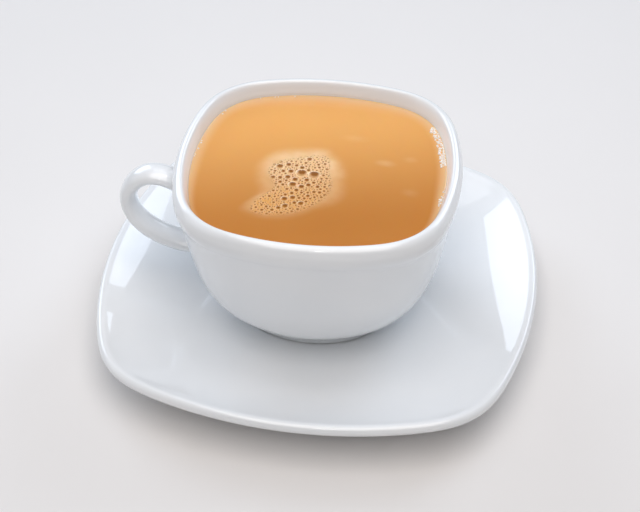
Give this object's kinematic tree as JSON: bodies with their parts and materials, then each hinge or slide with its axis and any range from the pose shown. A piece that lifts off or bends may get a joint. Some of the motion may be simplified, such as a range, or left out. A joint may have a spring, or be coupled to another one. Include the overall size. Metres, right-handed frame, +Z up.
{
  "type": "cup of coffee",
  "caption": "Square-rounded white porcelain cup on its matching saucer, filled with milky coffee that carries a patch of froth.",
  "frame": {"origin": "on the table under the middle of the saucer", "axes": "+Z up, the cup's handle points along -X, +Y is away from the side that faces the drinker"},
  "size_m": [0.1498, 0.1498, 0.0662],
  "materials": {
    "porcelain": "clear gloss glaze on white porcelain",
    "coffee": "opaque milky coffee, smooth and wet",
    "froth": "wet froth of fine bubbles"
  },
  "bodies": {
    "root": {"saucer": "porcelain", "cup": "porcelain", "coffee": "coffee", "froth": "froth"}
  },
  "joints": []
}
